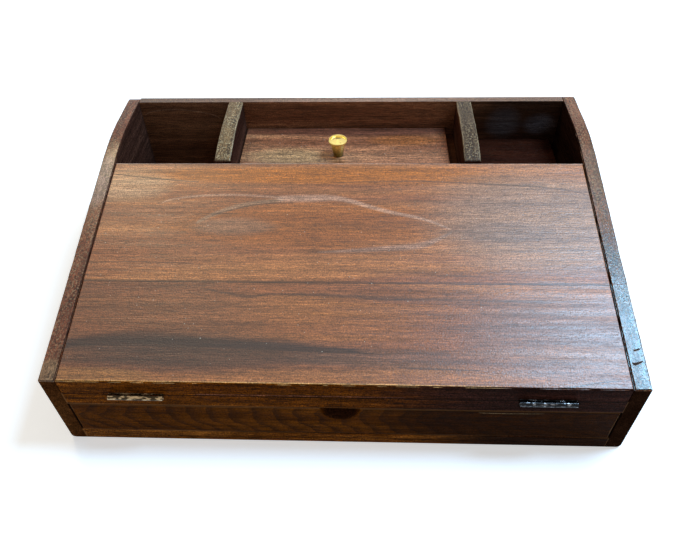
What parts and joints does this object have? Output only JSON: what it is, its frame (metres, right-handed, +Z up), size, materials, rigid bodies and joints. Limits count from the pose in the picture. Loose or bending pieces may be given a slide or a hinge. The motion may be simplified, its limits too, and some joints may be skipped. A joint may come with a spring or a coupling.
{
  "type": "letter writing box",
  "caption": "Sloping writing box with a front-hinged lid over a paper well, open letter bins and a lift-off lid with a brass knob behind it, and a full-width drawer below.",
  "frame": {"origin": "underside of the case, at the middle of its width and depth", "axes": "+X along the front from left to right, +Y from the front to the back, +Z up"},
  "size_m": [0.406, 0.2842, 0.1245],
  "materials": {
    "case_wood": "oiled and waxed rosewood-brown hardwood, semi-gloss, worn at its edges",
    "floor_wood": "the same hardwood, a little paler, satin",
    "lid_wood": "the same hardwood with a dark streaked grain, semi-gloss varnish",
    "small_lid_wood": "the same hardwood, semi-gloss",
    "drawer_front_wood": "dark hardwood with a waved grain, semi-gloss",
    "drawer_box_wood": "plain hardwood, matt",
    "hinge_steel": "dulled steel",
    "screw_steel": "dulled steel",
    "knob_brass": "turned and polished, a little tarnished"
  },
  "bodies": {
    "case": {"left_side": "case_wood", "right_side": "case_wood", "back_panel": "case_wood", "base_board": "case_wood", "front_rail": "case_wood", "compartment_floor": "floor_wood", "cross_partition": "case_wood", "left_divider": "case_wood", "right_divider": "case_wood", "raised_floor": "floor_wood", "left_cleat": "case_wood", "right_cleat": "case_wood", "left_rail_leaf": "hinge_steel", "right_rail_leaf": "hinge_steel", "left_hinge_pin": "hinge_steel", "right_hinge_pin": "hinge_steel", "rail_hinge_screws": "screw_steel"},
    "sloping_lid": {"lid_front_board": "lid_wood", "lid_rear_board": "lid_wood", "left_lid_leaf": "hinge_steel", "right_lid_leaf": "hinge_steel", "lid_hinge_screws": "screw_steel"},
    "drawer": {"drawer_front": "drawer_front_wood", "drawer_left_side": "drawer_box_wood", "drawer_right_side": "drawer_box_wood", "drawer_back": "drawer_box_wood", "drawer_bottom": "drawer_box_wood"},
    "small_lid": {"compartment_lid": "small_lid_wood", "knob": "knob_brass", "knob_screw": "screw_steel"}
  },
  "joints": [
    {"name": "lid_hinge", "type": "hinge", "parent": "case", "child": "sloping_lid", "pos_m": [0, -0.1422, 0.05839], "axis": [1, 0, 0], "range_deg": [0, 150]},
    {"name": "drawer_slide", "type": "slide", "parent": "case", "child": "drawer", "axis": [0, -1, 0], "range_m": [0, 0.2]},
    {"name": "compartment_lid_lift", "type": "slide", "parent": "case", "child": "small_lid", "axis": [0, 0, 1], "range_m": [0, 0.06]}
  ]
}
